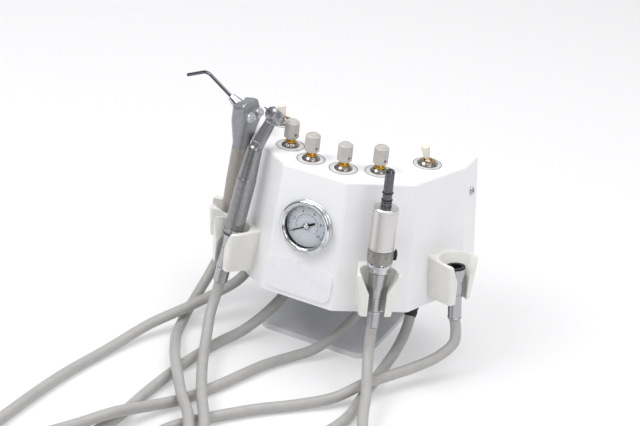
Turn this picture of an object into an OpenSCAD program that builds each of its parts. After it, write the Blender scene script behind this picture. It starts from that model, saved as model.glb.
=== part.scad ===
// Portable dental unit: a faceted control box on a stand, with a pressure gauge, four flow
// knobs, two toggle valves, four instrument holders, and the instruments on their hoses.
// Millimetres. +Z up, the front faces -Y. The origin is the middle of the foot pad's underside.

/* [Housing] */
// Width of the centre facet along the top edge
front_w = 56; // [52:1:62]
// Sideways run of each angled front facet
angle_run = 46; // [42:1:52]
// Setback of each angled front facet
angle_setback = 31; // [28:1:34]
// Sideways run of each side facet
side_run = 20; // [17:1:24]
// Setback of each side facet
side_setback = 58; // [55:1:64]
// Length of the straight sides at the rear
rear_len = 25; // [23:1:32]
// Height of the housing
shell_h = 110; // [106:1:120]
// How far every face leans out from the top edge to the bottom edge
draft = 12; // [10:0.5:13]
// Thickness of the housing wall
wall = 2.5; // [2:0.1:3]
// Radius of the upright creases between facets
crease_r = 6; // [4:0.5:8]
// Radius of the top edge
top_r = 2.4; // [1.6:0.2:3]

/* [Stand] */
// Height of the housing's bottom edge above the floor
lift = 60; // [59:0.5:62]
// Width of the stand
stand_w = 100; // [90:1:108]
// Thickness of the stand's steel
stand_t = 3; // [2:0.5:4]
// Thickness of the rubber pad
pad_t = 2; // [1.5:0.5:3]
// Depth of the foot pad from front to rear
foot_depth = 88; // [86:1:90]
// Rise of the stand behind the housing
stand_rise = 94; // [88:1:102]
// Height of the two wall holes above the floor
wall_hole_z = 32; // [24:1:40]
// Distance between the two wall holes
wall_hole_pitch = 70; // [50:1:76]
// Radius of each wall hole
wall_hole_r = 2.6; // [2:0.1:3.2]

/* [Chassis] */
// Thickness of the chassis sheet
sheet_t = 2; // [1.5:0.5:2.5]
// Recess of the base plate above the housing's bottom edge
base_recess = 12; // [11:0.5:14]
// Height of the manifold block above the base plate
manifold_rise = 26; // [22:1:28]
// Thickness of the manifold block
manifold_t = 12; // [8:1:14]
// Radius of the screws' shanks
screw_r = 1.5; // [1.2:0.1:2]

/* [Gauge] */
// Outer diameter of the gauge's bezel
bezel_d = 45; // [44:0.5:47]
// Outer diameter of the gauge's case
case_d = 40; // [38:0.5:41]
// Height of the gauge's centre above the housing's bottom edge
gauge_rise = 64.8; // [63:0.2:70]
// Depth of the case behind the housing's face
case_depth = 14; // [12:1:15]
// How far the bezel stands proud of the facet
bezel_h = 7; // [6.5:0.5:9]

/* [Label plate] */
// Width of the blank plate
plate_w = 58; // [50:1:60]
// Height of the blank plate
plate_h = 28; // [22:1:30]
// Corner radius of the blank plate
plate_r = 8; // [4:1:10]
// Thickness of the blank plate
plate_t = 1.2; // [0.8:0.2:2]

/* [Controls] */
// Diameter of a knob
knob_d = 12.2; // [11:0.2:14]
// Height of a knob
knob_h = 14.8; // [14:0.2:20]
// Height of a knob's underside above the panel
knob_rise = 7.4; // [5:0.2:8]
// Diameter of a round label
label_d = 24; // [20:0.5:26]
// Thickness of a round label
label_t = 0.4; // [0.3:0.1:0.6]
// Length of a toggle lever above its pivot
lever_len = 14.5; // [12:0.5:18]
// Lean of a toggle lever at rest
lever_lean = 16; // [12:1:18]

/* [Holders] */
// Height of the holders' undersides above the housing's bottom edge
holder_rise = 7; // [5:1:14]
// Height of a large holder
holder_h = 36.5; // [34:0.5:42]
// Height of the funnel at a large holder's rim
funnel_h = 14; // [8:0.5:16]
// Radius of the straight part of a large holder's hollow
hollow_r = 9.2; // [8.8:0.1:10]
// Radius of the funnel at a large holder's rim
funnel_r = 15; // [14:0.2:16]
// Distance from the facet to the middle of a large holder's hollow
hollow_out = 19.9; // [19.5:0.1:21]
// Thickness of a large holder's wings at the rim
wing_t = 3; // [2.4:0.1:4]
// Half of the front slot's width in a large holder
slot_half = 7; // [6:0.2:7.4]
// Height of the syringe holder
small_holder_h = 27; // [24:0.5:35]
// Radius of the syringe holder's hollow
small_hollow_r = 7.4; // [7.2:0.1:8.4]

/* [Instruments] */
// Diameter of the air motor's sleeve
motor_d = 20.4; // [19.8:0.2:21]
// Length of the air motor's sleeve
motor_sleeve_len = 36; // [34:0.5:44]
// Diameter of the motor's spigot
spigot_d = 7.6; // [7:0.1:8]
// Length of the motor's spigot
spigot_len = 31; // [26:0.5:32]
// Diameter of the handpiece's sleeve
sleeve_d = 15.6; // [14.8:0.2:16]
// Length of the handpiece's straight sleeve
sleeve_len = 75; // [66:1:78]
// Length of the handpiece's neck
neck_len = 32; // [22:0.5:34]
// Diameter of the handpiece's head
head_d = 11.4; // [9.6:0.2:12]
// Height of the handpiece's head
head_h = 14; // [10:0.2:15]
// Diameter of the spare coupling
spare_d = 16; // [13:0.2:16.4]
// Length of the syringe's handle
handle_len = 99; // [90:1:106]
// Diameter of the syringe's handle at its top
handle_d = 14; // [13:0.2:14.6]
// Diameter of the syringe's nozzle
nozzle_d = 2.9; // [2.4:0.1:3.4]

/* [Hoses] */
// Outer diameter of a hose
hose_d = 9; // [8:0.1:9.1]
// Distance from one turn of a coil to the next
coil_pitch = 9.6; // [9.6:0.1:10]

/* [Hidden] */

// Colours
white_c = [0.86, 0.86, 0.88];
ivory_c = [0.88, 0.86, 0.80];
cap_c = [0.64, 0.62, 0.60];
hose_c = [0.58, 0.58, 0.58];
steel_c = [0.75, 0.76, 0.78];
dark_c = [0.33, 0.33, 0.35];
brass_c = [0.78, 0.62, 0.30];
rubber_c = [0.12, 0.12, 0.12];
dial_c = [0.74, 0.78, 0.82];

// Smoothness of round pieces and of blended ones
$fn = 48;
blend_fn = 32;

// Gaps and fits
seat_gap = 0.3;
face_gap = 0.02;
run_gap = 0.05;
hole_gap = 0.1;
eps = 0.01;
far = 400;

// Housing outline: the corners of the right half, from the front to the rear
rear_y = foot_depth / 2;
depth = angle_setback + side_setback + rear_len;
half_w = front_w / 2 + angle_run + side_run;
top_z = lift + shell_h;
corner = [
    [front_w / 2, rear_y - depth],
    [front_w / 2 + angle_run, rear_y - depth + angle_setback],
    [half_w, rear_y - rear_len],
    [half_w, rear_y]
];
turn = [0, atan2(angle_setback, angle_run), atan2(side_setback, side_run), 90];
function normal(i) = [sin(turn[i]), -cos(turn[i])];
function push(a, b) = (a + b) / (1 + a * b);
function right_side(d) = [
    corner[0] + d * push(normal(0), normal(1)),
    corner[1] + d * push(normal(1), normal(2)),
    corner[2] + d * push(normal(2), normal(3)),
    corner[3] + d * normal(3)
];
function swap_x(v) = [-v[0], v[1]];
function outline(d, extra) = let (r = right_side(d), tail = [0, extra]) concat(
    [r[0], r[1], r[2], r[3] + tail, swap_x(r[3]) + tail],
    [swap_x(r[2]), swap_x(r[1]), swap_x(r[0])]);
function lean_at(z) = draft * (1 - (z - lift) / shell_h);
lean_angle = atan2(draft, shell_h);
function facet_mid(k) = (corner[k - 1] + corner[k]) / 2;

// A point on facet k: side 1 is the right and -1 the left, s runs along, d is outward
function facet_point(k, side, s, d, z) =
    let (m = facet_mid(k), c = cos(turn[k]), q = sin(turn[k]))
    [side * (m[0] + s * c + d * q), m[1] + s * q - d * c, z];

// Controls on the top panel
knob_xy = [[-40, -36.3], [-14.5, -49.8], [14.5, -49.8], [40, -36.3]];
toggle_xy = [[-65.8, 2.3], [65.8, 2.3]];
valve_r = 7;
valve_h = 17;
neck_r = 4;
barb_r = 2;
barb_h = 5;
toggle_w = 18;
toggle_depth = 14;
toggle_h = 20;
toggle_neck_r = 5;
toggle_bore_r = 3.6;
nut_rim = 3.6;
nut_t = 2.4;
washer_t = 0.8;
nut_z = top_z + label_t + washer_t;
neck_top = nut_z + nut_t + 0.2;
spindle_r = 2;
spindle_len = 9;
knob_stem_r = 3.3;
pivot_z = neck_top - 2.4;
pivot_r = 0.8;
ball_r = 2.8;
paddle_base = 2.4;
paddle_top = 4;

// Gauge
gauge_z = lift + gauge_rise;
gauge_wall = 1.2;
case_rim = 2;
lip_h = 1.8;
lip_w = 4.9;
lens_t = 1.4;
lens_z = bezel_h - lip_h - lens_t - hole_gap;
dial_t = 0.8;
dial_z = 0.4;
dial_r = case_d / 2 - gauge_wall - hole_gap;
boss_r = 9;
needle_pin_r = 0.6;
needle_hub_r = 2.6;
needle_reach = 15;
needle_tail = 8;
needle_z = dial_z + dial_t + 0.5;
needle_in = 6;
needle_rest = 240;
gauge_stem_r = 5;
gauge_stem_len = 8;
dial_screw = [3.5, 9.8];

// Chassis and stand
base_z = lift + base_recess;
side_screw_z = [lift + 22, lift + 84];
stand_screw_x = 34;
stand_screw_z = [lift + 30, lift + 76];
corner_r = 10;
flange_len = 20;
head_r = 3;
screw_head_h = 1.8;
shank_in = 5;
gland_xy = [[-68, -22], [-26, -22], [40, -22], [74, -6]];
gland_z = lift + 6;
gland_r = 6;
gland_hex_r = 8.6;
gland_top = 10;
gland_nut_t = 4;
gland_bore = 3;
manifold_z = base_z + sheet_t + manifold_rise;
manifold_w = 104;
manifold_depth = 36;
manifold_y = -56;
post_xy = [[-44, -48], [44, -48], [-7, -26], [7, -26]];
post_r = 3;
inlet_x = 74;
inlet_z = [lift + 28, lift + 54];
inlet_bore = [4.05, 3.05];
inlet_r = 6.5;
inlet_len = 9;
inlet_flange = 8;

// Holders
plate_z = lift + 18;
holder_z = lift + holder_rise;
seat_rise = holder_h - funnel_h;
seat_z = holder_z + seat_rise * cos(lean_angle);
holder_s = [-11, 0, 0, 1];
holder_screw_s = [-19, 0, 0, 1];
holder_low_half = hollow_r + 4;
holder_low_back = 12;
holder_back = 13;
holder_low_reach = 6.1;
holder_rim_reach = 9.4;
slot_v = 17;
small_half = 13;
small_back = 11;
small_out = 19;
small_slot = 6;
rim_edge = 1.2;
holder_screw_z = holder_z + small_holder_h / 2;
function holder_facet(i) = i == 0 || i == 3 ? 2 : 1;
function holder_side(i) = i < 2 ? -1 : 1;

// Distance out from the facet's top edge at which a leaning piece touches the hollow's rear
function seat_d(r, lean) =
    lean_at(seat_z) + (hollow_out - hollow_r) / cos(lean_angle) + seat_gap + r / cos(lean);
function base_d(r, lean, z) = seat_d(r, lean) + (seat_z - z) * tan(lean);

// Handpiece, from the hose end upward
handpiece_z = lift - 5.5;
handpiece_lean = 10.5;
handpiece_d = base_d(sleeve_d / 2, handpiece_lean, handpiece_z);
coupling_len = 43.7;
coupling_r = 6.2;
sleeve_z = coupling_len + face_gap;
neck_z = sleeve_z + sleeve_len;
neck_turn = 18;
neck_low_r = 5.6;
neck_high_r = 4.4;
bend_r = 6.2;
bur_angle = 77;
bur_r = 0.8;
bur_in = 6;
bur_out = 6;
bur_tip = 3;
cap_r = 4.4;
cap_h = 2.2;
cap_travel = 0.6;
cap_stem_r = 2.8;
cap_stem_h = 2.4;

// Air motor, from the hose end upward
motor_z = lift - 3.5;
motor_lean = 2.5;
motor_hip_r = 7.5;
motor_d_out = base_d(motor_hip_r, motor_lean, motor_z);
motor_coupling_len = 49;
motor_seal_t = 1;
motor_collar_r = 9.35;
motor_collar_len = 8.5;
motor_ring_len = 10.5;
motor_core_r = 7.4;
collar_z = motor_coupling_len + motor_seal_t;
ring_z = collar_z + motor_collar_len;
motor_top = ring_z + motor_ring_len + motor_sleeve_len;
ring_proud = 0.25;
lever_out = 3;
spigot_in = 8;
seal_bead = 0.7;
seal_rise = [6, 12];
dog_r = 1.2;
dog_len = 20;

// Spare coupling, from the hose end upward
spare_z = lift - 7.5;
spare_lean = 8.5;
spare_len = 46.5;
spare_seal_t = 1.5;
spare_body = spare_len - spare_seal_t - face_gap;
spare_d_out = base_d(spare_d / 2, spare_lean, spare_z);
spare_bore_r = 5;
spare_bore_len = 14;

// Syringe, from the hose end upward
syringe_z = lift;
syringe_s = -6;
syringe_out = 19.9;
syringe_tilt = [7, 8.6, -8];
syringe_base = facet_point(2, -1, syringe_s, syringe_out, syringe_z);
handle_low_r = 6;
handle_mid_r = 6.6;
head_len = 45;
syringe_head_w = 23.6;
nozzle_angle = 69;
nozzle_root = [-8, 0, 34.7];
nozzle_in = 6;
nozzle_straight = 34.8;
nozzle_turn = 55.7;
nozzle_bend_r = 9;
nozzle_tip = 18;
collar_low_r = 5.5;
collar_high_r = 3.2;
collar_len = 10;
button_r = 3.8;
button_root = [8.3, 0, 33.8];
button_angle = 34;
button_pitch = 11;
scoop_r = 13;
button_proud = 2.8;
button_depth = 5;
button_travel = 2;

// Hoses: the ends on the instruments, then each route's own points
handpiece_end = facet_point(1, -1, holder_s[1], handpiece_d, handpiece_z);
motor_end = facet_point(1, 1, holder_s[2], motor_d_out, motor_z);
spare_end = facet_point(2, 1, holder_s[3], spare_d_out, spare_z);
down = [0, 0, -1];
forward = [0, -1, 0];
hose_r = hose_d / 2;
tube_sides = 10;
coil_sides = 6;
coil_steps = 24;
coil_mid_r = 47.5;
coil_climb = 9.6;
coil_z = 4.5;
handpiece_coil = [-64, -600, 1.5];
syringe_coil = [-64, -483, 2.5];
spare_coil = [-64, -364, 2.5];
motor_coil = [84, -266, 3.5];
handpiece_out_route = [
    [-68, -22, 66], [-68, -23, 57], [-70, -28, 44], [-76, -38, 33], [-86, -54, 25.5],
    [-99, -78, 18.5], [-117, -112, 11], [-129, -160, 5], [-137, -215, 5], [-140, -280, 5],
    [-140, -390, 5], [-140, -490, 5], [-137, -515, 5], [-127.5, -545, 5], [-118, -573, 5]
];
handpiece_back_route = [
    [-71, -86.5, 43], [-69.5, -97, 30], [-62, -115, 19.5], [-48, -145, 15], [-25, -187, 15],
    [-1, -225, 15], [10, -252, 12], [13, -285, 7], [13, -330, 5], [13, -400, 5],
    [13, -480, 5], [10.5, -505, 5.5], [0, -540, 9], [-10, -572, 13]
];
syringe_out_route = [
    [40, -22, 66], [40, -23, 57], [38, -28, 44], [33, -37, 31], [24, -50, 18], [12, -66, 8],
    [1, -80, 5], [-12, -106, 5], [-26, -150, 5], [-40, -187, 5], [-54, -217, 9],
    [-66, -248, 15.5], [-81, -276, 14.5], [-104, -301, 8], [-121, -326, 5], [-128, -358, 5],
    [-128.5, -410, 5], [-123, -448, 5]
];
syringe_back_route = [
    [-102.3, -21.4, 50], [-104.2, -24.1, 39.5], [-105.9, -32.5, 28.5], [-107, -47, 17.5],
    [-106, -64, 10], [-102, -84, 5.5], [-95, -106, 5.5], [-84, -127, 9.5], [-74, -145, 14],
    [-58, -169, 16], [-38, -196, 15], [-18, -220, 15], [-5, -244, 12], [1, -280, 5],
    [1, -360, 5], [1, -405, 5], [-1, -435, 8], [-7, -457, 12]
];
spare_out_route = [
    [-26, -22, 66], [-26, -23, 57], [-28, -28, 44], [-33, -38, 31], [-41, -54, 18],
    [-51, -74, 8], [-60, -96, 5], [-66, -135, 5], [-69, -190, 5], [-69, -240, 5],
    [-74, -272, 5], [-88, -299, 5], [-107, -327, 5]
];
spare_back_route = [
    [118.6, -20.6, 44], [120.4, -25.5, 34], [113, -37, 24], [99, -55, 17], [83, -81, 14.7],
    [74, -98, 14.2], [60, -120, 8], [38, -143, 5], [14, -168, 5], [-13, -203, 5],
    [-30, -232, 5], [-33, -262, 5], [-25, -292, 5.5], [-15, -322, 9.5], [-11, -341, 13]
];
motor_out_route = [
    [74, -6, 66], [74, -7, 56], [75, -12, 42], [76, -22, 28], [75, -38, 15], [73, -56, 7],
    [74, -78, 4.8], [76, -102, 4.7], [79, -135, 4.8], [73, -168, 5], [54, -199, 5],
    [36, -229, 5]
];
motor_back_route = [
    [68, -81, 47], [70.5, -87, 36], [77, -101, 26], [86, -121, 20], [97, -150, 15.5],
    [112, -178, 12], [130, -208, 10], [139, -237, 12.5]
];

// The points of a coil: it spirals in on the floor, climbs one layer and spirals out again
function coil_outer(c) = coil_mid_r + coil_pitch * c[2] / 4;
function ease(x) = let (u = min(1, max(0, x))) u * u * (3 - 2 * u);
function coil_point(c, t) =
    let (r = coil_outer(c) - coil_pitch * min(t, c[2] - t), a = 180 + 360 * t)
    [c[0] + r * cos(a), c[1] + r * sin(a), coil_z + coil_climb * ease((t - c[2] / 2 + 0.25) / 0.5)];
function coil_in(c) = [c[0] - coil_outer(c), c[1] + hose_d, coil_z];
function coil_out(c) = [c[0] + coil_outer(c), c[1] + hose_d, coil_z + coil_climb];
function coil_path(c) = concat(
    [coil_in(c)],
    [for (i = [0:coil_steps * c[2]]) coil_point(c, i / coil_steps)],
    [coil_out(c)]);
function coil_gap(p) = min([
    for (i = [0:len(p) - 1], j = [i + coil_steps / 2:1:len(p) - 1]) norm(p[i] - p[j])
]) - hose_d;
echo("least gap of each coil to itself", [
    for (c = [handpiece_coil, syringe_coil, spare_coil, motor_coil]) coil_gap(coil_path(c))
]);

// A tube swept along points: first and last are the directions of its ends
function unit(v) = v / norm(v);
function headings(p, first, last) = [
    for (i = [0:len(p) - 1]) i == 0 ? first : i == len(p) - 1 ? last :
        unit(unit(p[i + 1] - p[i]) + unit(p[i] - p[i - 1]))
];
function across(t, u, i = 0) = let (v = unit(u - (u * t[i]) * t[i]))
    i == len(t) - 1 ? [v] : concat([v], across(t, v, i + 1));
module tube(p, first, last, r, n) {
    t = headings(p, first, last);
    u = across(t, [0.9, 0.1, 0.3]);
    m = len(p);
    points = [
        for (i = [0:m - 1], j = [0:n - 1])
            p[i] + r * (cos(360 * j / n) * u[i] + sin(360 * j / n) * cross(t[i], u[i]))
    ];
    walls = [
        for (i = [0:m - 2], j = [0:n - 1]) let (k = (j + 1) % n) each [
            [i * n + j, (i + 1) * n + j, (i + 1) * n + k],
            [i * n + j, (i + 1) * n + k, i * n + k]
        ]
    ];
    end = (m - 1) * n;
    caps = [for (j = [1:n - 2]) each [[0, j, j + 1], [end, end + j + 1, end + j]]];
    polyhedron(points, concat(walls, caps));
}
module coil(c) color(hose_c) tube(coil_path(c), forward, -forward, hose_r, coil_sides);
module stretch(p, first, last = forward) color(hose_c) tube(p, first, last, hose_r, tube_sides);

// Placing pieces
module facet(k, side) {
    mirror([side < 0 ? 1 : 0, 0, 0])
        translate([facet_mid(k)[0], facet_mid(k)[1], 0])
            rotate([0, 0, turn[k]])
                children();
}
module on_facet(k, side, s, z) {
    facet(k, side)
        translate([s, -lean_at(z), z])
            rotate([90 - lean_angle, 0, 0])
                children();
}
module on_front(z) {
    translate([0, rear_y - depth - lean_at(z), z])
        rotate([90 - lean_angle, 0, 0])
            children();
}
module leaning(k, side, s, d, z, lean) {
    facet(k, side)
        translate([s, -d, z])
            rotate([-lean, 0, 0])
                children();
}
module place_handpiece() {
    leaning(1, -1, holder_s[1], handpiece_d, handpiece_z, handpiece_lean) children();
}
module place_motor() {
    leaning(1, 1, holder_s[2], motor_d_out, motor_z, motor_lean) children();
}
module place_spare() {
    leaning(2, 1, holder_s[3], spare_d_out, spare_z, spare_lean) children();
}
module place_syringe() {
    translate(syringe_base)
        rotate([syringe_tilt[0], syringe_tilt[1], 0])
            rotate([0, 0, syringe_tilt[2]])
                children();
}
module at_each(list, z) {
    for (p = list) translate([p[0], p[1], z]) children();
}
module ring(r, inner, h) {
    difference() {
        cylinder(r = r, h = h);
        translate([0, 0, -eps]) cylinder(r = inner, h = h + 2 * eps);
    }
}
module screw_places() {
    for (side = [-1, 1], z = side_screw_z) on_facet(3, side, 0, z) children();
}
module holder_screw_places() {
    for (i = [0:3])
        on_facet(holder_facet(i), holder_side(i), holder_screw_s[i], holder_screw_z) children();
}
module stand_screw_places() {
    for (x = [-stand_screw_x, stand_screw_x], z = stand_screw_z)
        translate([x, rear_y + face_gap + stand_t, z]) rotate([-90, 0, 0]) children();
}
module screw_hole(depth) translate([0, 0, -depth]) cylinder(r = screw_r + hole_gap, h = 2 * depth);

// Housing: each face leans out toward the bottom, the creases and the top edge are rounded
module section(z, inset) {
    offset(r = -inset)
        offset(r = crease_r)
            offset(delta = -crease_r)
                polygon(outline(lean_at(z), 2 * crease_r));
}
module shell_body(inset, drop) {
    $fn = blend_fn;
    hull() {
        translate([0, 0, lift - drop]) linear_extrude(eps) section(lift - drop, inset);
        for (a = [0:22.5:90]) {
            z = top_z - inset - top_r * (1 - sin(a)) - eps;
            translate([0, 0, z]) linear_extrude(eps) section(z, inset + top_r * (1 - cos(a)));
        }
    }
}
module housing_shell() color(white_c) difference() {
    shell_body(0, 0);
    shell_body(wall, 1);
    translate([-far / 2, rear_y, 0]) cube(far);
    on_front(gauge_z) translate([0, 0, -case_d]) cylinder(r = case_d / 2 + seat_gap, h = 2 * case_d);
    at_each(knob_xy, top_z - 2 * wall) cylinder(r = neck_r + hole_gap, h = 3 * wall);
    at_each(toggle_xy, top_z - 2 * wall) cylinder(r = toggle_neck_r + hole_gap, h = 3 * wall);
    screw_places() screw_hole(2 * wall);
    holder_screw_places() screw_hole(2 * wall);
}

// Chassis: base plate, rear plate and two side flanges in one folded sheet
module rear_profile(inset) {
    top = top_z - wall - top_r - seat_gap;
    low = half_w + lean_at(base_z) - wall - seat_gap - inset;
    high = half_w + lean_at(top) - wall - seat_gap - inset;
    polygon([[-low, base_z], [low, base_z], [high, top], [-high, top]]);
}
module chassis() color(steel_c) difference() {
    union() {
        intersection() {
            translate([0, 0, base_z]) linear_extrude(sheet_t) section(base_z + sheet_t, wall + seat_gap);
            translate([-far / 2, rear_y - far, 0]) cube(far);
        }
        translate([0, rear_y, 0]) rotate([90, 0, 0]) linear_extrude(sheet_t) rear_profile(0);
        translate([0, rear_y, 0]) rotate([90, 0, 0]) linear_extrude(flange_len) difference() {
            rear_profile(0);
            rear_profile(sheet_t);
        }
    }
    at_each(gland_xy, base_z - sheet_t) cylinder(r = gland_r + hole_gap, h = 3 * sheet_t);
    stand_screw_places() screw_hole(stand_t + 2 * sheet_t);
    for (z = inlet_z) translate([inlet_x, rear_y + sheet_t, z])
        rotate([90, 0, 0]) cylinder(r = inlet_r - 1 + hole_gap, h = 3 * sheet_t);
    screw_places() screw_hole(4 * wall);
}

// Stand: a rear plate folded forward into a foot, on a rubber pad
module tab(w, h, r) {
    translate([-w / 2, 0]) square([w, h - r]);
    translate([-w / 2 + r, 0]) square([w - 2 * r, h]);
    for (x = [-w / 2 + r, w / 2 - r]) translate([x, h - r]) circle(r);
}
module stand_bracket() color(white_c) difference() {
    translate([0, rear_y + face_gap + stand_t, pad_t]) {
        rotate([90, 0, 0]) linear_extrude(stand_t) tab(stand_w, lift + stand_rise - pad_t, corner_r);
        rotate([0, 0, 180]) linear_extrude(stand_t) tab(stand_w, foot_depth + face_gap + stand_t, corner_r);
    }
    for (x = [-wall_hole_pitch / 2, wall_hole_pitch / 2]) translate([x, rear_y - stand_t, wall_hole_z])
        rotate([-90, 0, 0]) cylinder(r = wall_hole_r, h = 3 * stand_t);
    stand_screw_places() screw_hole(2 * stand_t);
}
module foot_pad() color(white_c)
    translate([0, rear_y, 0]) rotate([0, 0, 180]) linear_extrude(pad_t) tab(stand_w, foot_depth, corner_r);

module screw(len) {
    rim = screw_head_h * 0.6;
    translate([0, 0, face_gap]) cylinder(r = head_r, h = rim);
    translate([0, 0, face_gap + rim]) cylinder(r1 = head_r, r2 = head_r * 0.6, h = screw_head_h - rim);
    translate([0, 0, -len]) cylinder(r = screw_r, h = len + rim);
}
module screws() color(steel_c) {
    screw_places() screw(wall + seat_gap + sheet_t + 2);
    stand_screw_places() screw(stand_t + sheet_t + 3);
    holder_screw_places() translate([0, 0, -wall]) mirror([0, 0, 1]) screw(wall + shank_in);
}

module round_plate(w, h, r) {
    square([w - 2 * r, h], center = true);
    square([w, h - 2 * r], center = true);
    for (x = [r - w / 2, w / 2 - r], y = [r - h / 2, h / 2 - r]) translate([x, y]) circle(r);
}
module label_plate() color(white_c)
    on_front(plate_z) translate([0, 0, face_gap]) linear_extrude(plate_t) round_plate(plate_w, plate_h, plate_r);
module control_labels() color(white_c)
    at_each(concat(knob_xy, toggle_xy), top_z + face_gap)
        ring(label_d / 2, toggle_neck_r + hole_gap, label_t - 2 * face_gap);

// Gauge, with local z outward from the facet
module gauge_case() color(dark_c) on_front(gauge_z) {
    difference() {
        translate([0, 0, -case_depth]) cylinder(r = case_d / 2, h = case_depth + case_rim);
        translate([0, 0, -case_depth + gauge_wall]) cylinder(r = case_d / 2 - gauge_wall, h = far);
    }
    difference() {
        translate([0, 0, -case_depth + eps]) cylinder(r = boss_r, h = case_depth + dial_z - face_gap - eps);
        translate([0, 0, needle_z - needle_in]) cylinder(r = needle_pin_r + run_gap, h = far);
    }
    translate([0, 0, -case_depth - gauge_stem_len]) cylinder(r = gauge_stem_r, h = gauge_stem_len + eps);
}
module gauge_bezel() color(steel_c) on_front(gauge_z) rotate_extrude() {
    inner = case_d / 2 + hole_gap;
    outer = bezel_d / 2;
    lip = outer - lip_w;
    seat = case_rim + face_gap;
    polygon([
        [inner, face_gap], [outer - 0.8, face_gap], [outer, 0.8], [outer, 2.4], [outer - 0.6, 3],
        [outer, 3.6], [outer, bezel_h - 1.2], [outer - 1.2, bezel_h], [lip + 0.8, bezel_h],
        [lip, bezel_h - 0.8], [lip, bezel_h - lip_h], [dial_r + hole_gap, bezel_h - lip_h],
        [dial_r + hole_gap, seat], [inner, seat]
    ]);
}
module gauge_dial() color(dial_c) on_front(gauge_z) {
    translate([0, 0, dial_z]) ring(dial_r, needle_pin_r + hole_gap + run_gap, dial_t);
    for (x = [-dial_screw[0], dial_screw[0]])
        translate([x, -dial_screw[1], dial_z + dial_t - eps]) cylinder(r = 1, h = 0.3);
}
module gauge_needle() color(rubber_c) on_front(gauge_z) {
    translate([0, 0, needle_z - needle_in + run_gap]) cylinder(r = needle_pin_r, h = needle_in);
    translate([0, 0, needle_z]) cylinder(r = needle_hub_r, h = 1.2);
    translate([0, 0, needle_z + 0.2]) rotate([0, 0, -needle_rest]) linear_extrude(0.4)
        polygon([[-1, -needle_tail], [1, -needle_tail], [0.3, needle_reach], [-0.3, needle_reach]]);
}
module gauge_lens() color([0.85, 0.9, 0.92, 0.4])
    on_front(gauge_z) translate([0, 0, lens_z]) cylinder(r = dial_r, h = lens_t);

// Flow knobs and their valves
module knob(i) color(cap_c) translate([knob_xy[i][0], knob_xy[i][1], top_z + knob_rise]) {
    r = knob_d / 2;
    stem_h = top_z + knob_rise - neck_top - seat_gap;
    shaft_h = top_z + knob_rise - neck_top + spindle_len - run_gap;
    difference() {
        rotate_extrude() polygon([
            [0, 0], [r - 0.8, 0], [r, 0.8], [r, knob_h - 1.3], [r - 1.3, knob_h], [r - 2.2, knob_h],
            [r - 2.4, knob_h + 0.3], [r - 2.9, knob_h + 0.3], [r - 3.1, knob_h], [0, knob_h]
        ]);
        rotate([0, 0, -30]) translate([r / 2, 0, 4]) rotate([0, 90, 0]) cylinder(r = 1.1, h = r);
    }
    translate([0, 0, -stem_h]) cylinder(r = knob_stem_r, h = stem_h + eps);
    translate([0, 0, -shaft_h]) cylinder(r = spindle_r, h = shaft_h + eps);
}
module knob_1() knob(0);
module knob_2() knob(1);
module knob_3() knob(2);
module knob_4() knob(3);
module needle_valves() color(brass_c) at_each(knob_xy, 0) difference() {
    under = top_z - wall - face_gap;
    union() {
        translate([0, 0, under - valve_h]) cylinder(r = valve_r, h = valve_h);
        translate([0, 0, under - eps]) cylinder(r = neck_r, h = neck_top - under + eps);
        translate([0, 0, under - valve_h - barb_h]) cylinder(r = barb_r, h = barb_h + eps);
    }
    translate([0, 0, neck_top - spindle_len]) cylinder(r = spindle_r + run_gap, h = far);
}
module dished_nut(r, z) {
    translate([0, 0, z - washer_t + face_gap]) ring(r + nut_rim, r + hole_gap, washer_t - 2 * face_gap);
    translate([0, 0, z]) rotate_extrude() polygon([
        [r + hole_gap, 0], [r + nut_rim - 0.4, 0], [r + nut_rim - 1, 1], [r + 1.2, nut_t],
        [r + hole_gap, nut_t]
    ]);
}
module panel_nuts() color(steel_c) {
    at_each(knob_xy, 0) dished_nut(neck_r, nut_z);
    at_each(toggle_xy, 0) dished_nut(toggle_neck_r, nut_z);
}

// Toggle valves
module toggle_valves() color(brass_c) at_each(toggle_xy, 0) {
    under = top_z - wall - face_gap;
    difference() {
        union() {
            translate([-toggle_w / 2, -toggle_depth / 2, under - toggle_h])
                cube([toggle_w, toggle_depth, toggle_h]);
            translate([0, 0, under - eps]) cylinder(r = toggle_neck_r, h = neck_top - under + eps);
        }
        translate([0, 0, pivot_z - ball_r - 1]) cylinder(r = toggle_bore_r, h = far);
    }
    translate([0, toggle_bore_r + 1, pivot_z])
        rotate([90, 0, 0]) cylinder(r = pivot_r, h = 2 * toggle_bore_r + 2);
}
module toggle_lever(i) color(ivory_c)
    translate([toggle_xy[i][0], toggle_xy[i][1], pivot_z]) rotate([0, -lever_lean, 0]) difference() {
        union() {
            sphere(r = ball_r);
            cylinder(r = 1.5, h = 5);
            translate([0, 0, 4.6]) cylinder(r1 = paddle_base, r2 = paddle_top, h = lever_len - 5.6);
            translate([0, 0, lever_len - 1 - eps]) cylinder(r1 = paddle_top, r2 = paddle_top - 1, h = 1);
        }
        translate([0, far / 2, 0]) rotate([90, 0, 0]) cylinder(r = pivot_r + run_gap, h = far);
    }
module toggle_lever_left() toggle_lever(0);
module toggle_lever_right() toggle_lever(1);

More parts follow.
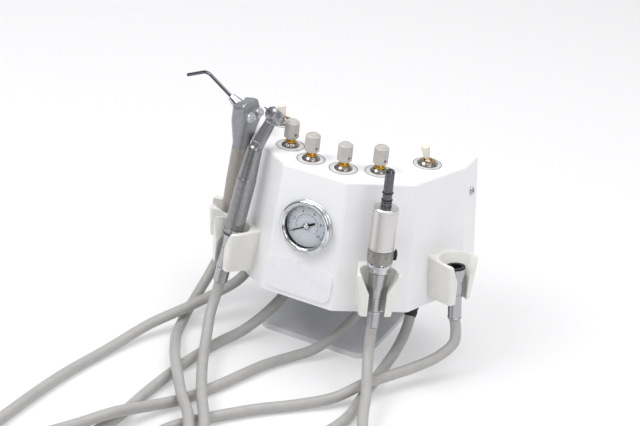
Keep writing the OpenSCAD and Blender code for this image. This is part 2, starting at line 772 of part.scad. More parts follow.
// Holders stand square on their facet: a tapered block with a round hollow, a funnel at the rim
// and a slot in front
module holder_slice(z, back, half, front, r) {
    $fn = blend_fn;
    translate([0, 0, z]) linear_extrude(eps) {
        for (x = [r - half, half - r]) translate([x, r - front]) circle(r);
        polygon([[-back, -face_gap], [0, -face_gap - 1], [back, -face_gap]]);
    }
}
module in_holder(i) {
    facet(holder_facet(i), holder_side(i))
        translate([holder_s[i], -lean_at(holder_z), holder_z])
            rotate([-lean_angle, 0, 0])
                children();
}
module holder_hole() holder_screw_places() screw_hole(shank_in + 0.5);
module holder(i) color(ivory_c) difference() {
    rim_half = funnel_r + wing_t;
    rim_front = hollow_out + holder_rim_reach;
    v_half = rim_half - 2.5;
    in_holder(i) difference() {
        hull() {
            holder_slice(0, holder_low_back, holder_low_half, hollow_out + holder_low_reach, 3);
            holder_slice(holder_h - rim_edge, holder_back, rim_half, rim_front, 4);
            holder_slice(holder_h, holder_back - rim_edge, rim_half - rim_edge, rim_front - rim_edge, 3);
        }
        translate([0, -hollow_out, 0]) rotate_extrude() polygon([
            [0, -1], [hollow_r, -1], [hollow_r, seat_rise],
            [2 * funnel_r - hollow_r, seat_rise + 2 * funnel_h], [0, seat_rise + 2 * funnel_h]
        ]);
        translate([0, -hollow_out - 2, 0]) rotate([90, 0, 0]) linear_extrude(far) polygon([
            [-slot_half, -1], [slot_half, -1], [slot_half + 0.4, holder_h - slot_v], [v_half, holder_h],
            [v_half, holder_h + 1], [-v_half, holder_h + 1], [-v_half, holder_h],
            [-slot_half - 0.4, holder_h - slot_v]
        ]);
    }
    holder_hole();
}
module holder_2() holder(1);
module holder_3() holder(2);
module holder_4() holder(3);
module holder_1() color(ivory_c) difference() {
    rim_front = small_out + 5;
    in_holder(0) hull() {
        holder_slice(0, small_back - 1, small_half - 2, small_out, 3);
        holder_slice(small_holder_h - rim_edge, small_back, small_half, rim_front, 4);
        holder_slice(small_holder_h, small_back - rim_edge, small_half - rim_edge, rim_front - rim_edge, 3);
    }
    place_syringe() rotate([0, 0, 90 - turn[2] - syringe_tilt[2]])
        translate([-(small_hollow_r - handle_mid_r - seat_gap), 0, 0]) {
            cylinder(r = small_hollow_r, h = far);
            translate([-far, -small_slot, 0]) cube([far, 2 * small_slot, far]);
            translate([0, 0, holder_z + small_holder_h - syringe_z - 4.2])
                cylinder(r1 = small_hollow_r, r2 = small_hollow_r + 6, h = 8);
        }
    holder_hole();
}

// Syringe
module syringe_handle() color(hose_c) place_syringe() rotate_extrude() {
    r = handle_d / 2;
    polygon([
        [0, 0], [handle_low_r - 0.6, 0], [handle_low_r, 0.8], [handle_mid_r - 0.2, 6],
        [handle_mid_r, 12], [handle_mid_r, 46], [r, 62], [r, handle_len - 3],
        [r - 0.4, handle_len - 2.4], [r - 0.4, handle_len - 1.6], [r, handle_len - 1],
        [r, handle_len], [0, handle_len]
    ]);
}
module on_button(y) {
    place_syringe()
        translate([button_root[0], y, handle_len + button_root[2]])
            rotate([0, button_angle, 0])
                children();
}
module on_nozzle() {
    place_syringe()
        translate([nozzle_root[0], 0, handle_len + nozzle_root[2]])
            rotate([0, -nozzle_angle, 0])
                children();
}
module head_body() {
    $fn = blend_fn;
    w = syringe_head_w / 2;
    hull() {
        cylinder(r = handle_d / 2 - 0.2, h = 1);
        translate([0, 0, 10]) cylinder(r = handle_d / 2 - 0.6, h = 1);
        for (y = [-1, 1]) {
            translate([-2.5, y * (w - 6), 25]) sphere(r = 6);
            translate([4, y * (w - 5.5), 29]) sphere(r = 5.5);
            translate([-4, y * (w - 6.5), 36]) sphere(r = 5.6);
            translate([1.5, y * (w - 6.5), head_len - 6]) sphere(r = 5);
        }
    }
}
module syringe_head() color(cap_c) difference() {
    place_syringe() translate([0, 0, handle_len + face_gap]) head_body();
    on_button(0) translate([0, far / 2, scoop_r - 0.3]) rotate([90, 0, 0]) cylinder(r = scoop_r, h = far);
    for (y = [-button_pitch / 2, button_pitch / 2]) on_button(y)
        translate([0, 0, -button_depth]) cylinder(r = button_r + run_gap, h = far / 20);
    on_nozzle() translate([0, 0, -nozzle_in - run_gap]) cylinder(r = nozzle_d / 2 + run_gap, h = far / 20);
    on_nozzle() cylinder(r = collar_low_r + 2, h = far / 20);
}
module syringe_collar() color(cap_c) on_nozzle() difference() {
    translate([0, 0, face_gap]) cylinder(r1 = collar_low_r, r2 = collar_high_r, h = collar_len);
    translate([0, 0, -1]) cylinder(r = nozzle_d / 2 + run_gap, h = far);
}
module syringe_nozzle() color(dark_c) on_nozzle() {
    r = nozzle_d / 2;
    translate([0, 0, -nozzle_in]) cylinder(r = r, h = nozzle_in + nozzle_straight);
    translate([-nozzle_bend_r, 0, nozzle_straight]) rotate([90, 0, 0]) rotate_extrude(angle = nozzle_turn)
        translate([nozzle_bend_r, 0]) circle(r = r);
    translate([-nozzle_bend_r, 0, nozzle_straight]) rotate([0, -nozzle_turn, 0])
        translate([nozzle_bend_r, 0, 0]) cylinder(r = r, h = nozzle_tip);
}
module syringe_button(y) color(steel_c) on_button(y * button_pitch / 2) {
    low = button_travel + run_gap - button_depth;
    translate([0, 0, low]) cylinder(r = button_r, h = button_proud - 0.6 - low);
    translate([0, 0, button_proud - 0.6 - eps]) cylinder(r1 = button_r, r2 = button_r - 0.6, h = 0.6);
}
module syringe_button_air() syringe_button(-1);
module syringe_button_water() syringe_button(1);

// Handpiece
module on_neck() {
    place_handpiece()
        translate([0, 0, neck_z])
            rotate([-neck_turn, 0, 0])
                children();
}
module on_head() {
    on_neck()
        translate([0, 0, neck_len])
            rotate([bur_angle, 0, 0])
                children();
}
module handpiece_coupling() color(steel_c) place_handpiece() rotate_extrude() {
    r = coupling_r;
    polygon([
        [0, 0], [r - 0.6, 0], [r - 0.2, 1], [r - 0.2, 12], [r - 0.5, 12.5], [r - 0.5, 13.3],
        [r, 13.8], [r, 30], [r - 0.4, 30.4], [r - 0.4, 31.2], [r, 31.6], [r + 0.6, coupling_len],
        [0, coupling_len]
    ]);
}
module handpiece_sleeve() color(dark_c) difference() {
    r = sleeve_d / 2;
    union() {
        place_handpiece() translate([0, 0, sleeve_z]) rotate_extrude() polygon([
            [0, 0], [r - 1, 0], [r, 1.2], [r, 4], [r - 0.4, 4.4], [r - 0.4, 5.2], [r, 5.6], [r, 46],
            [r - 0.8, 62], [bend_r, sleeve_len], [0, sleeve_len]
        ]);
        place_handpiece() translate([0, 0, neck_z]) sphere(r = bend_r);
        on_neck() cylinder(r1 = neck_low_r, r2 = neck_high_r, h = neck_len);
    }
    on_head() translate([0, 0, -head_h]) cylinder(r = head_d / 2 + face_gap, h = 2 * head_h);
}
module handpiece_head() color(dark_c) on_head() difference() {
    r = head_d / 2;
    h = head_h / 2;
    rotate_extrude() polygon([
        [0, -h], [r - 0.5, -h], [r, 0.5 - h], [r, h - 2], [r - 1.8, h], [0, h]
    ]);
    translate([0, 0, h - bur_in]) cylinder(r = bur_r + run_gap, h = far);
    translate([0, 0, -h - 1]) cylinder(r = cap_stem_r + run_gap, h = cap_stem_h + 1 + run_gap);
}
module handpiece_push_cap() color(dark_c) on_head() {
    rim = -head_h / 2 - cap_travel;
    translate([0, 0, rim - cap_h]) cylinder(r1 = cap_r - 0.6, r2 = cap_r, h = cap_h);
    translate([0, 0, rim - eps]) cylinder(r = cap_stem_r, h = cap_stem_h - run_gap + eps);
}
module handpiece_bur() color(steel_c) on_head() {
    low = head_h / 2 - bur_in + run_gap;
    tip = head_h / 2 + bur_out - bur_tip;
    translate([0, 0, low]) cylinder(r = bur_r, h = tip - low);
    translate([0, 0, tip]) cylinder(r1 = bur_r, r2 = bur_r / 2, h = bur_tip);
}

// Air motor
module motor_coupling() color(steel_c) place_motor() rotate_extrude() polygon([
    [0, 0], [4.7, 0], [5.1, 0.8], [5.1, 13.5], [4.8, 13.8], [4.8, 14.4], [5.35, 14.8], [5.35, 25],
    [5.1, 25.3], [5.1, 25.9], [5.5, 26.3], [6.65, 35.5], [motor_hip_r + 0.4, motor_coupling_len],
    [0, motor_coupling_len]
]);
module motor_sleeve() color(steel_c) place_motor() difference() {
    r = motor_d / 2;
    union() {
        translate([0, 0, collar_z]) cylinder(r = motor_collar_r, h = motor_collar_len);
        translate([0, 0, ring_z - eps]) cylinder(r = motor_core_r, h = motor_ring_len + 2 * eps);
        translate([0, 0, ring_z + motor_ring_len]) rotate_extrude() polygon([
            [0, 0], [r - 0.3, 0], [r, 0.4], [r, motor_sleeve_len - 1], [r - 1, motor_sleeve_len],
            [0, motor_sleeve_len]
        ]);
    }
    translate([0, 0, motor_top - spigot_in]) cylinder(r = spigot_d / 2 + run_gap, h = far);
}
module motor_ring() color(cap_c) place_motor() {
    r = motor_d / 2 + ring_proud;
    translate([0, 0, ring_z + hole_gap]) difference() {
        ring(r, motor_core_r + run_gap, motor_ring_len - 2 * hole_gap);
        for (a = [15:30:345]) rotate([0, 0, a]) translate([r + 0.4, 0, 5.5]) cylinder(r = 1, h = far);
    }
    translate([r - 0.6, -1.5, ring_z + 1]) cube([lever_out, 3, 4]);
}
module motor_spigot() color(steel_c) place_motor() difference() {
    r = spigot_d / 2;
    nose = 2;
    union() {
        translate([0, 0, motor_top - spigot_in + run_gap])
            cylinder(r = r, h = spigot_in - run_gap + spigot_len - nose);
        translate([0, 0, motor_top + face_gap]) cylinder(r = r + 0.5, h = 4);
        translate([0, 0, motor_top + spigot_len - nose - eps]) cylinder(r1 = r, r2 = r - 1, h = nose);
    }
    translate([0, 0, motor_top + spigot_len - dog_len]) cylinder(r = dog_r + run_gap, h = far);
    for (z = seal_rise) translate([0, 0, motor_top + z])
        rotate_extrude() translate([r, 0]) circle(r = seal_bead + face_gap);
}
module motor_drive_dog() color(dark_c) place_motor()
    translate([0, 0, motor_top + spigot_len - dog_len + run_gap]) cylinder(r = dog_r, h = dog_len - 1);

module spare_coupling() color(steel_c) place_spare() difference() {
    r = spare_d / 2;
    rotate_extrude() polygon([
        [0, 0], [5.1, 0], [5.6, 0.8], [5.6, 22], [5.3, 22.4], [5.3, 23.2], [5.8, 23.6], [6.2, 33],
        [r, 40], [r, spare_body], [0, spare_body]
    ]);
    translate([0, 0, spare_body - spare_bore_len]) cylinder(r = spare_bore_r, h = far);
}
module seal_rings() color(rubber_c) {
    place_motor() translate([0, 0, motor_coupling_len + face_gap])
        ring(motor_hip_r + 0.5, 4, motor_seal_t - 2 * face_gap);
    place_spare() translate([0, 0, spare_body + face_gap])
        ring(spare_d / 2 - 0.1, spare_bore_r + 0.2, spare_seal_t);
    for (z = seal_rise) place_motor() translate([0, 0, motor_top + z])
        rotate_extrude() translate([spigot_d / 2, 0]) circle(r = seal_bead);
}

// Hose glands, inlets, manifold and internal tubes
module hose_glands() color(dark_c) at_each(gland_xy, 0) difference() {
    union() {
        translate([0, 0, gland_z]) cylinder(r1 = gland_r + 0.4, r2 = gland_hex_r - 0.8, h = 2);
        translate([0, 0, gland_z + 2 - eps])
            cylinder(r = gland_hex_r, h = base_z - face_gap - gland_z - 2 + eps, $fn = 6);
        translate([0, 0, base_z - face_gap - eps]) cylinder(r = gland_r, h = gland_top);
        translate([0, 0, base_z + sheet_t + face_gap]) cylinder(r = gland_hex_r, h = gland_nut_t, $fn = 6);
    }
    translate([0, 0, gland_z - 1]) cylinder(r = gland_bore, h = far);
}
module inlet_connectors() color(brass_c) for (i = [0, 1])
    translate([inlet_x, rear_y, inlet_z[i]]) rotate([-90, 0, 0]) difference() {
        union() {
            translate([0, 0, face_gap]) cylinder(r = inlet_flange, h = 3);
            translate([0, 0, face_gap]) cylinder(r = inlet_r, h = inlet_len);
            translate([0, 0, -sheet_t - 8]) cylinder(r = inlet_r - 1, h = sheet_t + 9);
            translate([0, 0, -sheet_t - face_gap - 4]) cylinder(r = inlet_flange, h = 4);
        }
        translate([0, 0, inlet_len - 12]) cylinder(r = inlet_bore[i], h = far);
    }
module manifold_block() color(steel_c) {
    translate([-manifold_w / 2, manifold_y, manifold_z]) cube([manifold_w, manifold_depth, manifold_t]);
    at_each(post_xy, base_z + sheet_t + face_gap) cylinder(r = post_r, h = manifold_rise);
}
module internal_tubes() color(hose_c) {
    low = manifold_z + manifold_t + face_gap;
    high = top_z - wall - 2 * face_gap - valve_h - barb_h;
    at_each(knob_xy, low) cylinder(r = barb_r, h = high - low);
}

// Hoses
function end_heading(i, side, lean) =
    [side * sin(lean) * normal(i)[0], sin(lean) * normal(i)[1], -cos(lean)];
module handpiece_hose_out() stretch(concat(handpiece_out_route, [coil_in(handpiece_coil)]), down);
module handpiece_hose_coil() coil(handpiece_coil);
module handpiece_hose_back()
    stretch(concat([handpiece_end], handpiece_back_route, [coil_out(handpiece_coil)]),
        end_heading(1, -1, handpiece_lean));
module syringe_hose_out() stretch(concat(syringe_out_route, [coil_in(syringe_coil)]), down);
module syringe_hose_coil() coil(syringe_coil);
module syringe_hose_back() {
    x = syringe_tilt[0];
    y = syringe_tilt[1];
    stretch(concat([syringe_base], syringe_back_route, [coil_out(syringe_coil)]),
        [-cos(x) * sin(y), sin(x), -cos(x) * cos(y)]);
}
module spare_hose_out() stretch(concat(spare_out_route, [coil_in(spare_coil)]), down);
module spare_hose_coil() coil(spare_coil);
module spare_hose_back()
    stretch(concat([spare_end], spare_back_route, [coil_out(spare_coil)]),
        end_heading(2, 1, spare_lean));
module motor_hose_out() stretch(concat(motor_out_route, [coil_in(motor_coil)]), down);
module motor_hose_coil() coil(motor_coil);
module motor_hose_back()
    stretch(concat([motor_end], motor_back_route, [coil_out(motor_coil)]),
        end_heading(1, 1, motor_lean));

housing_shell();
chassis();
stand_bracket();
foot_pad();
screws();
label_plate();
control_labels();
gauge_case();
gauge_bezel();
gauge_dial();
gauge_needle();
gauge_lens();
knob_1();
knob_2();
knob_3();
knob_4();
needle_valves();
panel_nuts();
toggle_valves();
toggle_lever_left();
toggle_lever_right();
holder_1();
holder_2();
holder_3();
holder_4();
syringe_handle();
syringe_head();
syringe_collar();
syringe_nozzle();
syringe_button_air();
syringe_button_water();
handpiece_coupling();
handpiece_sleeve();
handpiece_head();
handpiece_push_cap();
handpiece_bur();
motor_coupling();
motor_sleeve();
motor_ring();
motor_spigot();
motor_drive_dog();
spare_coupling();
seal_rings();
hose_glands();
inlet_connectors();
manifold_block();
internal_tubes();
syringe_hose_out();
syringe_hose_coil();
syringe_hose_back();
handpiece_hose_out();
handpiece_hose_coil();
handpiece_hose_back();
spare_hose_out();
spare_hose_coil();
spare_hose_back();
motor_hose_out();
motor_hose_coil();
motor_hose_back();
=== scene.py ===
"""Looks of the portable dental unit: camera, hoses, finishes, detail pieces, light. Metres."""
import math

import bmesh
import bpy
from mathutils import Matrix, Vector


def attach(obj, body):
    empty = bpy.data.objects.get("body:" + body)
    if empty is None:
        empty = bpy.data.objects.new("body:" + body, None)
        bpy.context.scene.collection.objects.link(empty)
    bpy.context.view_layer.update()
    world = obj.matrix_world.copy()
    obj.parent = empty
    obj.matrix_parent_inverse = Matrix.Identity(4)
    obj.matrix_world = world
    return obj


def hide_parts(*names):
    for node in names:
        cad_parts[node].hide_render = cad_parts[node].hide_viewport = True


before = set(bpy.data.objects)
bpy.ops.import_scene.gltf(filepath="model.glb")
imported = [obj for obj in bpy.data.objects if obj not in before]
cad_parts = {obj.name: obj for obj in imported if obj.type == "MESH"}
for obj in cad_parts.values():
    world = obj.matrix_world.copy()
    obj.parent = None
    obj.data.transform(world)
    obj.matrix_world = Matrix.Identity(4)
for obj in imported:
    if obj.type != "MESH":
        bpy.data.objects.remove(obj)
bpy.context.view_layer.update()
MM = 0.001


def mm(*values):
    return Vector(values) * MM


# ---------------------------------------------------------------- camera
AZIMUTH, ELEVATION, ROLL = (math.radians(a) for a in (23.39, 26.05, 6.364))
RIGHT = Vector((math.cos(AZIMUTH), math.sin(AZIMUTH), 0))
AHEAD = Vector((-math.sin(AZIMUTH) * math.cos(ELEVATION), math.cos(AZIMUTH) * math.cos(ELEVATION),
                -math.sin(ELEVATION)))
ABOVE = RIGHT.cross(AHEAD)
lens = bpy.data.cameras.new("camera")
lens.sensor_width = 36
lens.lens = 95.63
lens.clip_start, lens.clip_end = 0.05, 30
camera = bpy.data.objects.new("camera", lens)
bpy.context.scene.collection.objects.link(camera)
side = RIGHT * math.cos(ROLL) + ABOVE * math.sin(ROLL)
top = ABOVE * math.cos(ROLL) - RIGHT * math.sin(ROLL)
camera.matrix_world = Matrix.Translation(mm(492, -1190.4, 733)) @ Matrix(
    (side, top, -AHEAD)).transposed().to_4x4()
bpy.context.scene.camera = camera

# ---------------------------------------------------------------- sizes shared with the solids
REAR, DEPTH, TOP, LIFT = 44, 114, 170, 60
SHELL_H, DRAFT = 110, 12
CORNER = ((28, -70), (74, -39), (94, 19), (94, 44))
TURN = (0, math.atan2(31, 46), math.atan2(58, 20), math.pi / 2)
LEAN = math.atan2(DRAFT, SHELL_H)
KNOB_XY = ((-40, -36.3), (-14.5, -49.8), (14.5, -49.8), (40, -36.3))
TOGGLE_XY = ((-65.8, 2.3), (65.8, 2.3))
LABEL_TOP = TOP + 0.4


def lean_at(z):
    return DRAFT * (1 - (z - LIFT) / SHELL_H)


def turned(angle, axis):
    return Matrix.Rotation(angle, 4, axis)


def moved(*v):
    return Matrix.Translation(mm(*v))


def facet(k, hand):
    mid = ((CORNER[k - 1][0] + CORNER[k][0]) / 2, (CORNER[k - 1][1] + CORNER[k][1]) / 2)
    return Matrix.Diagonal((hand, 1, 1, 1)) @ moved(*mid, 0) @ turned(TURN[k], "Z")


def on_facet(k, hand, s, z):
    return facet(k, hand) @ moved(s, -lean_at(z), z) @ turned(math.pi / 2 - LEAN, "X")


def on_front(z):
    return moved(0, REAR - DEPTH - lean_at(z), z) @ turned(math.pi / 2 - LEAN, "X")


def leaning(k, hand, s, d, z, lean):
    return facet(k, hand) @ moved(s, -d, z) @ turned(-math.radians(lean), "X")


HOLLOW_OUT, HOLLOW_R, SEAT_GAP = 19.9, 9.2, 0.3
SEAT_Z = 67 + 22.5 * math.cos(LEAN)


def seated(radius, lean, z):
    slope = math.radians(lean)
    rear = lean_at(SEAT_Z) + (HOLLOW_OUT - HOLLOW_R) / math.cos(LEAN)
    return rear + SEAT_GAP + radius / math.cos(slope) + (SEAT_Z - z) * math.tan(slope)


AT_HANDPIECE = leaning(1, -1, 0, seated(7.8, 10.5, 54.5), 54.5, 10.5)
AT_NECK = AT_HANDPIECE @ moved(0, 0, 118.72) @ turned(math.radians(-18), "X")
AT_HEAD = AT_NECK @ moved(0, 0, 32) @ turned(math.radians(77), "X")
AT_MOTOR = leaning(1, 1, 0, seated(7.5, 2.5, 56.5), 56.5, 2.5)
AT_SPARE = leaning(2, 1, 1, seated(8, 8.5, 52.5), 52.5, 8.5)
SYRINGE_BASE = facet(2, -1) @ mm(-6, -19.9, 60)
AT_SYRINGE = (Matrix.Translation(SYRINGE_BASE) @ turned(math.radians(8.6), "Y")
              @ turned(math.radians(7), "X") @ turned(math.radians(-8), "Z"))
AT_GAUGE = on_front(124.8)


def base_of(matrix):
    return tuple(c / MM for c in matrix.translation)


# ---------------------------------------------------------------- hoses
HOSE_D = 9
COILS = {"handpiece": (-64, -600, 1.5), "syringe": (-64, -483, 2.5), "spare": (-64, -364, 2.5),
         "motor": (84, -266, 3.5)}
HOSE_OUT = {
    "handpiece": ((-68, -22, 66), (-68, -23, 57), (-70, -28, 44), (-76, -38, 33), (-86, -54, 25.5),
                  (-99, -78, 18.5), (-117, -112, 11), (-129, -160, 5), (-137, -215, 5), (-140, -280, 5),
                  (-140, -390, 5), (-140, -490, 5), (-137, -515, 5), (-127.5, -545, 5), (-118, -573, 5)),
    "syringe": ((40, -22, 66), (40, -23, 57), (38, -28, 44), (33, -37, 31), (24, -50, 18), (12, -66, 8),
                (1, -80, 5), (-12, -106, 5), (-26, -150, 5), (-40, -187, 5), (-54, -217, 9),
                (-66, -248, 15.5), (-81, -276, 14.5), (-104, -301, 8), (-121, -326, 5), (-128, -358, 5),
                (-128.5, -410, 5), (-123, -448, 5)),
    "spare": ((-26, -22, 66), (-26, -23, 57), (-28, -28, 44), (-33, -38, 31), (-41, -54, 18),
              (-51, -74, 8), (-60, -96, 5), (-66, -135, 5), (-69, -190, 5), (-69, -240, 5),
              (-74, -272, 5), (-88, -299, 5), (-107, -327, 5)),
    "motor": ((74, -6, 66), (74, -7, 56), (75, -12, 42), (76, -22, 28), (75, -38, 15), (73, -56, 7),
              (74, -78, 4.8), (76, -102, 4.7), (79, -135, 4.8), (73, -168, 5), (54, -199, 5),
              (36, -229, 5)),
}
HOSE_BACK = {
    "handpiece": (base_of(AT_HANDPIECE), (-71, -86.5, 43), (-69.5, -97, 30), (-62, -115, 19.5),
                  (-48, -145, 15), (-25, -187, 15), (-1, -225, 15), (10, -252, 12), (13, -285, 7),
                  (13, -330, 5), (13, -400, 5), (13, -480, 5), (10.5, -505, 5.5), (0, -540, 9),
                  (-10, -572, 13)),
    "syringe": (base_of(AT_SYRINGE), (-102.3, -21.4, 50), (-104.2, -24.1, 39.5), (-105.9, -32.5, 28.5),
                (-107, -47, 17.5), (-106, -64, 10), (-102, -84, 5.5), (-95, -106, 5.5),
                (-84, -127, 9.5), (-74, -145, 14), (-58, -169, 16), (-38, -196, 15), (-18, -220, 15),
                (-5, -244, 12), (1, -280, 5), (1, -360, 5), (1, -405, 5), (-1, -435, 8), (-7, -457, 12)),
    "spare": (base_of(AT_SPARE), (118.6, -20.6, 44), (120.4, -25.5, 34), (113, -37, 24), (99, -55, 17),
              (83, -81, 14.7), (74, -98, 14.2), (60, -120, 8), (38, -143, 5), (14, -168, 5),
              (-13, -203, 5), (-30, -232, 5), (-33, -262, 5), (-25, -292, 5.5), (-15, -322, 9.5),
              (-11, -341, 13)),
    "motor": (base_of(AT_MOTOR), (68, -81, 47), (70.5, -87, 36), (77, -101, 26), (86, -121, 20),
              (97, -150, 15.5), (112, -178, 12), (130, -208, 10), (139, -237, 12.5)),
}


def coil_points(cx, cy, turns, steps=40):
    pitch, low, climb = 9.6, 4.5, 9.6
    outer = 47.5 + pitch * turns / 4
    found = [(cx - outer, cy + HOSE_D, low)]
    for i in range(round(steps * turns) + 1):
        t = i / steps
        r = outer - pitch * min(t, turns - t)
        a = math.pi + 2 * math.pi * t
        u = min(1, max(0, (t - turns / 2 + 0.25) / 0.5))
        found.append((cx + r * math.cos(a), cy + r * math.sin(a), low + climb * u * u * (3 - 2 * u)))
    return found + [(cx + outer, cy + HOSE_D, low + climb)]


def smooth(points, parts=5):
    """Points along a centripetal Catmull-Rom curve through the given ones."""
    p = [Vector(v) for v in points]
    p = [2 * p[0] - p[1], *p, 2 * p[-1] - p[-2]]
    found = []
    for a, b, c, d in zip(p, p[1:], p[2:], p[3:]):
        t1 = max(1e-4, (b - a).length ** 0.5)
        t2 = t1 + (c - b).length ** 0.5
        t3 = t2 + max(1e-4, (d - c).length ** 0.5)
        for i in range(parts):
            t = t1 + (t2 - t1) * i / parts
            ab = a * (1 - t / t1) + b * (t / t1)
            bc = b * ((t2 - t) / (t2 - t1)) + c * ((t - t1) / (t2 - t1))
            cd = c * ((t3 - t) / (t3 - t2)) + d * ((t - t2) / (t3 - t2))
            abc = ab * ((t2 - t) / t2) + bc * (t / t2)
            bcd = bc * ((t3 - t) / (t3 - t1)) + cd * ((t - t1) / (t3 - t1))
            v = abc * ((t2 - t) / (t2 - t1)) + bcd * ((t - t1) / (t2 - t1))
            found.append(Vector((v.x, v.y, max(v.z, HOSE_D / 2))))
    return found + [p[-2]]


def hose(name):
    coil = coil_points(*COILS[name])
    way_out = smooth([*HOSE_OUT[name], coil[0]])
    way_back = smooth([*HOSE_BACK[name], coil[-1]])
    path = [*way_out, *(Vector(c) for c in coil[1:-1]), *reversed(way_back)]
    curve = bpy.data.curves.new(name + "_hose", "CURVE")
    curve.dimensions = "3D"
    spline = curve.splines.new("POLY")
    spline.points.add(len(path) - 1)
    for point, v in zip(spline.points, path):
        point.co = (*(v * MM), 1)
        point.radius = HOSE_D / 2 * MM
    curve.bevel_depth = 1.0
    curve.bevel_resolution = 7
    curve.use_fill_caps = True
    spline.use_smooth = True
    obj = bpy.data.objects.new(name + "_hose", curve)
    bpy.context.scene.collection.objects.link(obj)
    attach(obj, "unit")
    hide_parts(name + "_hose_out", name + "_hose_coil", name + "_hose_back")
    return obj


HOSES = [hose(name) for name in COILS]


# ---------------------------------------------------------------- finishes
def linear(c):
    return tuple(v / 12.92 if v <= 0.04045 else ((v + 0.055) / 1.055) ** 2.4 for v in c) + (1,)


def finish(name, colour, rough=0.4, tint=0.05, grain=300, stretch=(1, 1, 1), bump=0.02,
           bump_grain=900, spread=0.05, **sockets):
    """A finish with noise in its colour, its roughness and its bump; sockets are set as given."""
    mat = bpy.data.materials.new(name)
    mat.use_nodes = True
    nodes, links = mat.node_tree.nodes, mat.node_tree.links
    shader = nodes["Principled BSDF"]
    place = nodes.new("ShaderNodeTexCoord")
    scale = nodes.new("ShaderNodeMapping")
    scale.inputs["Scale"].default_value = stretch
    links.new(place.outputs["Object"], scale.inputs["Vector"])
    noise = nodes.new("ShaderNodeTexNoise")
    noise.inputs["Scale"].default_value = grain
    noise.inputs["Detail"].default_value = 5
    links.new(scale.outputs["Vector"], noise.inputs["Vector"])
    ramp = nodes.new("ShaderNodeValToRGB")
    low, high = ramp.color_ramp.elements
    low.position, high.position = 0.35, 0.65
    low.color = linear([max(0, c - tint) for c in colour])
    high.color = linear([min(1, c + tint) for c in colour])
    links.new(noise.outputs["Fac"], ramp.inputs["Fac"])
    links.new(ramp.outputs["Color"], shader.inputs["Base Color"])
    span = nodes.new("ShaderNodeMapRange")
    span.inputs["From Min"].default_value, span.inputs["From Max"].default_value = 0.3, 0.7
    span.inputs["To Min"].default_value = max(0.02, rough - spread)
    span.inputs["To Max"].default_value = min(1, rough + spread)
    links.new(noise.outputs["Fac"], span.inputs["Value"])
    links.new(span.outputs["Result"], shader.inputs["Roughness"])
    fine = nodes.new("ShaderNodeTexNoise")
    fine.inputs["Scale"].default_value = bump_grain
    fine.inputs["Detail"].default_value = 3
    links.new(scale.outputs["Vector"], fine.inputs["Vector"])
    relief = nodes.new("ShaderNodeBump")
    relief.inputs["Strength"].default_value = bump
    relief.inputs["Distance"].default_value = 0.0003
    links.new(fine.outputs["Fac"], relief.inputs["Height"])
    links.new(relief.outputs["Normal"], shader.inputs["Normal"])
    for socket, value in sockets.items():
        shader.inputs[socket.replace("_", " ")].default_value = value
    return mat


